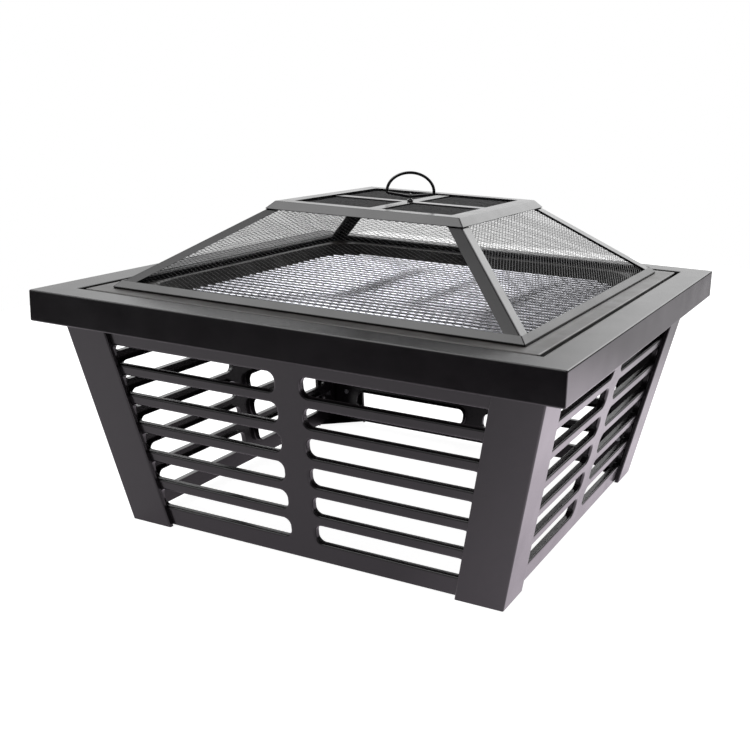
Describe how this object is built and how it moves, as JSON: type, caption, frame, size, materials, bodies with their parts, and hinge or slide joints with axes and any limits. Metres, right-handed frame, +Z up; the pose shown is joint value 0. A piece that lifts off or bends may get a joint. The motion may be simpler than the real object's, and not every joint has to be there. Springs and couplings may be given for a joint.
{
  "type": "fire pit table",
  "caption": "Square black steel fire table on slotted sides, with a drop-in bowl, a chrome cooking grate and a lift-off mesh spark screen with a bow handle.",
  "frame": {"origin": "on the ground, under the middle of the square table", "axes": "+Z up, front (the side nearest in the reference view, left of the near corner) towards -Y, +X to the right"},
  "size_m": [0.864, 0.864, 0.5735],
  "materials": {
    "black_enamel": "semi-gloss near-black high-temperature paint, baked on",
    "bowl_paint": "satin near-black high-temperature paint, slightly brown",
    "chrome_wire": "bright chrome-plated wire",
    "mesh_paint": "satin black paint on expanded metal",
    "handle_paint": "gloss black enamel",
    "zinc_fasteners": "bright zinc plate"
  },
  "bodies": {
    "table": {"table_top": "black_enamel", "leg_front_right": "black_enamel", "leg_back_right": "black_enamel", "leg_back_left": "black_enamel", "leg_front_left": "black_enamel", "nut_front_right_a": "zinc_fasteners", "nut_front_right_b": "zinc_fasteners", "nut_back_right_a": "zinc_fasteners", "nut_back_right_b": "zinc_fasteners", "nut_back_left_a": "zinc_fasteners", "nut_back_left_b": "zinc_fasteners", "nut_front_left_a": "zinc_fasteners", "nut_front_left_b": "zinc_fasteners", "panel_front": "black_enamel", "panel_right": "black_enamel", "panel_back": "black_enamel", "panel_left": "black_enamel", "screw_front_low_left": "zinc_fasteners", "screw_front_low_right": "zinc_fasteners", "screw_front_high_left": "zinc_fasteners", "screw_front_high_right": "zinc_fasteners", "screw_right_low_left": "zinc_fasteners", "screw_right_low_right": "zinc_fasteners", "screw_right_high_left": "zinc_fasteners", "screw_right_high_right": "zinc_fasteners", "screw_back_low_left": "zinc_fasteners", "screw_back_low_right": "zinc_fasteners", "screw_back_high_left": "zinc_fasteners", "screw_back_high_right": "zinc_fasteners", "screw_left_low_left": "zinc_fasteners", "screw_left_low_right": "zinc_fasteners", "screw_left_high_left": "zinc_fasteners", "screw_left_high_right": "zinc_fasteners"},
    "bowl": {"fire_bowl": "bowl_paint"},
    "grate": {"cooking_grate": "chrome_wire"},
    "spark_screen": {"screen_base_frame": "black_enamel", "hip_post_front_right": "black_enamel", "hip_post_back_right": "black_enamel", "hip_post_back_left": "black_enamel", "hip_post_front_left": "black_enamel", "screen_top_frame": "black_enamel", "screen_cross_bars": "black_enamel", "screen_mesh_front": "mesh_paint", "screen_mesh_right": "mesh_paint", "screen_mesh_back": "mesh_paint", "screen_mesh_left": "mesh_paint", "screen_mesh_top": "mesh_paint", "handle_eye_bolt": "handle_paint", "handle_nut_upper": "handle_paint", "handle_nut_lower": "zinc_fasteners"},
    "handle": {"ring_handle": "handle_paint"}
  },
  "joints": [
    {"name": "bowl_lift", "type": "slide", "parent": "table", "child": "bowl", "axis": [0, 0, 1], "range_m": [0, 0.2]},
    {"name": "grate_lift", "type": "slide", "parent": "bowl", "child": "grate", "axis": [0, 0, 1], "range_m": [0, 0.035]},
    {"name": "screen_lift", "type": "slide", "parent": "bowl", "child": "spark_screen", "axis": [0, 0, 1], "range_m": [0, 0.25]},
    {"name": "handle_swing", "type": "hinge", "parent": "spark_screen", "child": "handle", "pos_m": [0, 0, 0.5312], "axis": [0.9063, 0.4226, 0], "range_deg": [-95, 95]}
  ]
}
